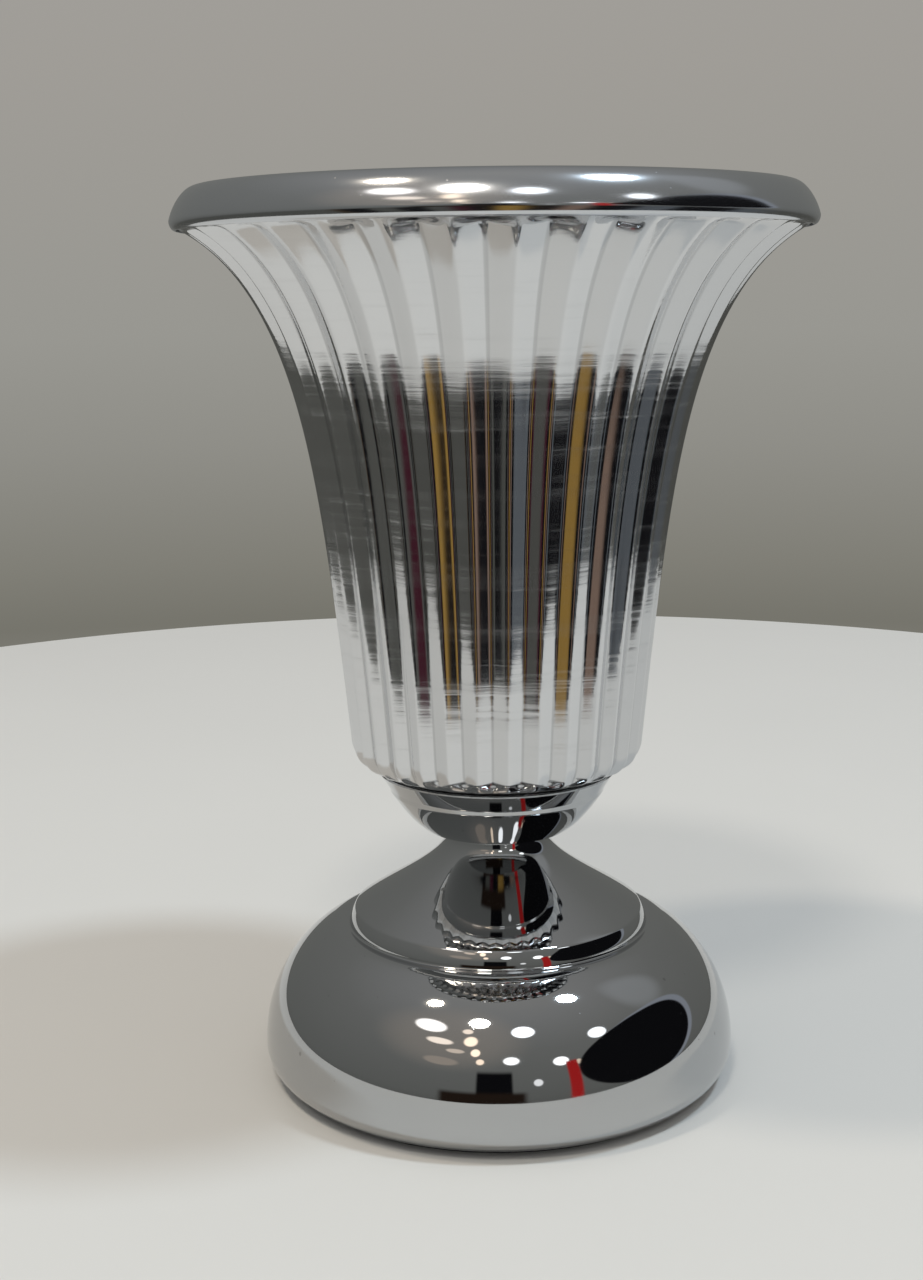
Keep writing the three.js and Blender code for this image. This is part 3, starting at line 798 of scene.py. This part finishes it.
class VASE_OT_floor_fixing(bpy.types.Operator):
    """Make the cap nut and the washer on the floor inside the vase"""

    bl_idname = "vase.floor_fixing"
    bl_label = "Cap nut and washer"

    def execute(self, context):
        sizes, colours = context.scene.vase_sizes, context.scene.vase_colours
        zinc = shared(zinc_steel, colours.zinc)
        hole = sizes.rod_hole
        ring("floor_washer_ring", "floor_washer", hole, 0.3 * MM, zinc)
        dress(self.cap_nut(), zinc, ["cap_nut"], sharp=30)
        return {"FINISHED"}

    def cap_nut(self):
        """A hexagon bar turned down to a dome, by keeping what a turned blank and it share."""
        base, top = bottom_of("cap_nut"), top_of("cap_nut")
        flat, corner = 6.5 * MM, 13 / math.sqrt(3) * MM
        chamfer = (corner - flat) / 2
        shoulder, bore_end = base + 6.5 * MM, base + 11 * MM
        dome, bore, spare = 6.2 * MM, 4.15 * MM, 0.1 * MM
        line = [(0.0, bore_end), (bore, bore_end), (bore, base), (flat, base)]
        line += [(corner + spare, base + chamfer), (corner + spare, shoulder - chamfer)]
        line += [(flat, shoulder), (dome, shoulder + spare)]
        line += arc((0.0, top - dome), dome, dome, 0, math.pi / 2, 14)
        blank = turned("cap_nut_blank", line, 96)
        deselect()
        bpy.ops.mesh.primitive_cylinder_add(
            vertices=6, radius=corner, depth=20 * MM, enter_editmode=True
        )
        nut = bpy.context.object
        nut.name = "domed_cap_nut"
        nut.data.name = nut.name
        bpy.ops.transform.translate(value=(0, 0, base + 9 * MM))
        bpy.ops.object.mode_set(mode="OBJECT")
        apply(nut, "BOOLEAN", operation="INTERSECT", object=blank, solver="EXACT")
        bpy.data.objects.remove(blank)
        bevel = {"width": 0.18 * MM, "segments": 2, "limit_method": "ANGLE"}
        apply(nut, "BEVEL", angle_limit=math.radians(28), **bevel)
        return nut


class VASE_OT_hidden_fittings(bpy.types.Operator):
    """Give the weight, rod, tube, washers and nut inside the foot their metals"""

    bl_idname = "vase.hidden_fittings"
    bl_label = "Hidden fittings"

    def execute(self, context):
        colours = context.scene.vase_colours
        zinc = shared(zinc_steel, colours.zinc)
        for name in HIDDEN_STEEL:
            self.refinish(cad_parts[name], zinc)
        self.refinish(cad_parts["ballast_weight"], shared(cast_iron, colours.iron))
        return {"FINISHED"}

    def refinish(self, node, material):
        """Gives a CAD node that stays another material."""
        for slot in node.material_slots:
            slot.material = material


# The stage: its tones, what the metal mirrors, the lamps, the floor and the camera

BLACK = (0.006, 0.006, 0.007)
GREY = (0.085, 0.085, 0.076)
BLUE_GREY = (0.1, 0.11, 0.12)
BROWN = (0.06, 0.035, 0.018)
DARK_BROWN = (0.022, 0.014, 0.01)
GOLD = (0.3, 0.18, 0.045)
DARK_RED = (0.05, 0.01, 0.018)
TAN = (0.22, 0.15, 0.115)

# Tones behind the vase for the camera, by height: a wall that pales upwards from the floor's edge
BACKDROP_TONES = (
    (0.0, (0.36, 0.355, 0.34)),
    (0.2, (0.34, 0.33, 0.31)),
    (0.325, (0.18, 0.176, 0.15)),
    (0.356, (0.215, 0.21, 0.182)),
    (0.42, (0.275, 0.27, 0.245)),
    (0.48, (0.315, 0.31, 0.285)),
    (0.62, (0.35, 0.335, 0.31)),
    (1.0, (0.4, 0.4, 0.385)),
)

# Tones of the mirrored walls by rise, from 0 straight down to 1 straight up
WALL_TONES = (
    (0.0, (0.1, 0.1, 0.095)),
    (0.45, (0.12, 0.12, 0.112)),
    (0.5, (0.165, 0.168, 0.158)),
    (0.7, (0.21, 0.212, 0.202)),
    (0.85, (0.28, 0.28, 0.275)),
    (1.0, (0.34, 0.335, 0.32)),
)

# Tones of the low stripes in the mirrored room by bearing, from 0 to 1 for the whole turn
UPRIGHTS = (
    (0.0, GREY),
    (0.345, GREY),
    (0.352, BROWN),
    (0.36, BLACK),
    (0.385, BLACK),
    (0.39, GREY),
    (0.41, GREY),
    (0.415, BLACK),
    (0.44, BLACK),
    (0.445, GREY),
    (0.46, GREY),
    (0.468, DARK_RED),
    (0.478, DARK_RED),
    (0.484, BLACK),
    (0.504, BLACK),
    (0.51, GOLD),
    (0.528, GOLD),
    (0.54, BLACK),
    (0.565, BLACK),
    (0.575, TAN),
    (0.59, TAN),
    (0.6, BLACK),
    (0.64, BLACK),
    (0.65, BLUE_GREY),
    (0.68, BLUE_GREY),
    (0.69, BLACK),
    (0.75, BLACK),
    (0.77, BLUE_GREY),
    (0.83, GREY),
    (1.0, GREY),
)

# Lamps in the mirrored room: (bearing, rise) and half sizes in degrees, strength and warmth
LAMPS = (
    ((-45, 51), (11, 4.5), 3.0, 0.06),
    ((-33, 41), (8, 2.4), 1.8, 0.14),
    ((-22, 35), (5, 1.6), 1.0, 0.16),
    ((-28, 26), (9, 3), 0.45, 0.14),
    ((-15, 44), (4, 4), 2.4, 0.2),
    ((-11, 35), (2.5, 3), 2.4, 0.2),
    ((-8, 28), (2, 2.2), 2.0, 0.2),
    ((-19, 52), (3.5, 2), 1.8, 0.16),
    ((18, 52), (7.5, 4.5), 4.0, -0.03),
    ((8, 29), (4, 3), 3.0, 0.0),
    ((33, 25), (4, 3.2), 3.0, 0.0),
    ((60, 38), (5.5, 3.6), 3.0, -0.03),
    ((20, 11), (2.2, 2.6), 1.4, 0.0),
    ((42, 22), (1.6, 1.8), 1.2, 0.2),
)

# Soft glows in the mirrored room: (bearing, rise), half sizes, softness, strength and colour
GLOWS = (
    ((-28, 46), (40, 22), 0.8, 0.5, (0.42, 0.37, 0.32)),
    ((108, 44), (15, 13), 0.7, 0.35, (0.5, 0.52, 0.54)),
)

# A black oval panel with a pale outline, as the glows
PANEL = (
    ((80, 16), (37, 20.5), 0.04, 1.0, (0.3, 0.32, 0.36)),
    ((77, 16), (36, 20), 0.04, 1.0, BLACK),
)

# Upright forms in the mirrored room: bearings, their softness, rises, their softness and colour
FORMS = (
    ((-9, 8), 0.8, (-12, 20), 2, BLACK),
    ((-26, 14), 2, (-14, 4), 2, DARK_BROWN),
    ((35, 41), 0.6, (-10, 24), 1, (0.5, 0.02, 0.02)),
)

FILL_LIGHT = (0.46, 0.46, 0.457)  # even light from all sides, on what isn't mirrored

# Lamps over the stage: name, place, width, watts and colour
STUDIO_LAMPS = (
    ("left_lamp", (-0.75, -0.35, 1.9), 0.2, 7.6, (1.0, 0.88, 0.72)),
    ("right_lamp", (0.8, -0.15, 1.9), 0.26, 14.2, (0.74, 0.88, 1.0)),
    ("front_lamp", (-0.25, -1.1, 1.9), 0.3, 9.0, (1.0, 0.95, 0.86)),
)
LAMPS_AIM = (0, 0, 0.08)

FLOOR_RADIUS = 0.46
FLOOR_CENTRE = (-0.005, 0.198, -0.00002)
FLOOR_THICKNESS = 0.02

CAMERA_PLACE = (0, -0.4366, 0.1937)
CAMERA_TURNS = (10.845, -1.12, -0.56)  # downwards, to the side and rolled, in degrees
CAMERA_ROUND = 1.5  # degrees about the axis of the vase
FILM_WIDTH = 36
PHOTO_FOCUS, PHOTO_SIDE = 1798.6, 1280  # focal length and longer side, in the photograph's pixels
FOCAL_LENGTH = FILM_WIDTH * PHOTO_FOCUS / PHOTO_SIDE


class View:
    """Directions in the mirrored room, in degrees: bearing from the front, rise from level."""

    def __init__(self, bearing, rise):
        self.bearing = bearing
        self.rise = rise

    def oval(self, place, size, edge):
        """1 inside an oval and 0 outside; edge is its softness."""
        across = (self.bearing - place[0]) / size[0]
        along = (self.rise - place[1]) / size[1]
        return (across * across + along * along).ramp(1 + edge, 1 - edge)


class VASE_OT_stage(bpy.types.Operator):
    """Set up the pale floor, the plain surroundings, the lamps and the camera"""

    bl_idname = "vase.stage"
    bl_label = "Stage"

    def execute(self, context):
        self.floor(context.scene.vase_colours)
        self.surroundings(context.scene)
        self.lamps()
        self.camera(context.scene)
        context.scene.view_settings.view_transform = "Standard"
        return {"FINISHED"}

    def floor(self, colours):
        """A pale round board under the vase."""
        deselect()
        bpy.ops.mesh.primitive_circle_add(
            vertices=256,
            radius=FLOOR_RADIUS,
            fill_type="NGON",
            location=FLOOR_CENTRE,
            enter_editmode=True,
        )
        floor = bpy.context.object
        floor.name = "pale_floor"
        move = {"value": (0, 0, -FLOOR_THICKNESS)}
        bpy.ops.mesh.extrude_region_move(TRANSFORM_OT_translate=move)
        bpy.ops.mesh.select_all(action="SELECT")
        bpy.ops.mesh.normals_make_consistent(inside=False)
        bpy.ops.object.mode_set(mode="OBJECT")
        floor.data.materials.append(shared(pale_floor, colours.floor))

    def surroundings(self, scene):
        """Grey walls behind for the camera, a plain room for reflections, and even fill light."""
        world = bpy.data.worlds.new("plain_room")
        world.use_nodes = True
        scene.world = world
        nodes = Nodes(world.node_tree)
        east, north, up = nodes.axes(nodes.add("TexCoord", {}, {}, output="Generated"))
        seen = nodes.bands(up + 0.5, BACKDROP_TONES)
        mirrored = self.room(nodes, east, north, up)
        camera_ray = nodes.add("LightPath", {}, {}, output="Is Camera Ray")
        mirror_ray = nodes.add("LightPath", {}, {}, output="Is Glossy Ray")
        lit = nodes.blend(mirror_ray, FILL_LIGHT, mirrored)
        tone = nodes.blend(camera_ray, lit, seen)
        background = world.node_tree.nodes["Background"]
        nodes.feed(background.inputs["Color"], tone)

    def room(self, nodes, east, north, up):
        """What the metal mirrors: grey walls, lamps, dark forms and dim upright stripes."""
        view = View(east.turn(0 - north).degrees(), up.arcsine().degrees())
        tone = nodes.bands(view.rise / 180 + 0.5, WALL_TONES)
        tone = self.ovals(nodes, view, tone, GLOWS)
        for place, size, strength, warmth in LAMPS:
            light = dimmed((1, 1 - warmth, 1 - 1.9 * warmth), strength)
            tone = nodes.blend(view.oval(place, size, 0.35), tone, light)
        tone = self.ovals(nodes, view, tone, PANEL)
        for bearings, side, rises, end, form_tone in FORMS:
            form = view.bearing.window(*bearings, side) * view.rise.window(*rises, end)
            tone = nodes.blend(form, tone, form_tone)
        uprights = nodes.bands(view.bearing / 360 + 0.5, UPRIGHTS)
        return nodes.blend(view.rise.ramp(-5, -10), tone, uprights)

    def ovals(self, nodes, view, tone, shapes):
        """Lays ovals over the tones of the room."""
        for place, size, edge, strength, oval_tone in shapes:
            tone = nodes.blend(view.oval(place, size, edge) * strength, tone, oval_tone)
        return tone

    def lamps(self):
        """Soft lamps above the vase and in front of it."""
        for name, place, width, watts, tone in STUDIO_LAMPS:
            deselect()
            bpy.ops.object.light_add(type="AREA", location=place)
            lamp = bpy.context.object
            lamp.name = name
            lamp.data.shape = "DISK"
            lamp.data.size = width
            lamp.data.energy = watts
            lamp.data.color = tone
            aim = (Vector(LAMPS_AIM) - Vector(place)).to_track_quat("-Z", "Y")
            lamp.rotation_euler = aim.to_euler()

    def camera(self, scene):
        """Camera at the photograph's place, turned slightly round the vase."""
        pitch, heading, roll = (math.radians(angle) for angle in CAMERA_TURNS)
        ahead = Vector(
            (
                math.sin(heading) * math.cos(pitch),
                math.cos(heading) * math.cos(pitch),
                -math.sin(pitch),
            )
        )
        level = Vector((math.cos(heading), -math.sin(heading), 0))
        above = level.cross(ahead)
        right = level * math.cos(roll) + above * math.sin(roll)
        upright = above * math.cos(roll) - level * math.sin(roll)
        axes = Matrix((right, upright, -ahead)).transposed().to_4x4()
        stand = Matrix.Translation(CAMERA_PLACE) @ axes
        deselect()
        bpy.ops.object.camera_add()
        camera = bpy.context.object
        camera.name = "photo_camera"
        camera.matrix_world = Matrix.Rotation(math.radians(CAMERA_ROUND), 4, "Z") @ stand
        camera.data.sensor_width = FILM_WIDTH
        camera.data.lens = FOCAL_LENGTH
        scene.camera = camera


PIECES = (
    VASE_OT_body,
    VASE_OT_hoop,
    VASE_OT_collar,
    VASE_OT_foot,
    VASE_OT_soft_rings,
    VASE_OT_floor_fixing,
    VASE_OT_hidden_fittings,
    VASE_OT_stage,
)


class VASE_PT_pieces(bpy.types.Panel):
    """Lists the pieces of the vase in the sidebar"""

    bl_idname = "VASE_PT_pieces"
    bl_label = "Fluted Vase"
    bl_space_type = "VIEW_3D"
    bl_region_type = "UI"
    bl_category = "Vase"

    def draw(self, context):
        for piece in PIECES:
            self.layout.operator(piece.bl_idname)


CLASSES = (VaseSizes, VaseColours, *PIECES, VASE_PT_pieces)


def register():
    for item in CLASSES:
        bpy.utils.register_class(item)
    bpy.types.Scene.vase_sizes = bpy.props.PointerProperty(type=VaseSizes)
    bpy.types.Scene.vase_colours = bpy.props.PointerProperty(type=VaseColours)


def unregister():
    del bpy.types.Scene.vase_colours
    del bpy.types.Scene.vase_sizes
    for item in reversed(CLASSES):
        bpy.utils.unregister_class(item)


def main():
    register()
    for piece in PIECES:
        group, name = piece.bl_idname.split(".")
        getattr(getattr(bpy.ops, group), name)()


if __name__ == "__main__":
    main()
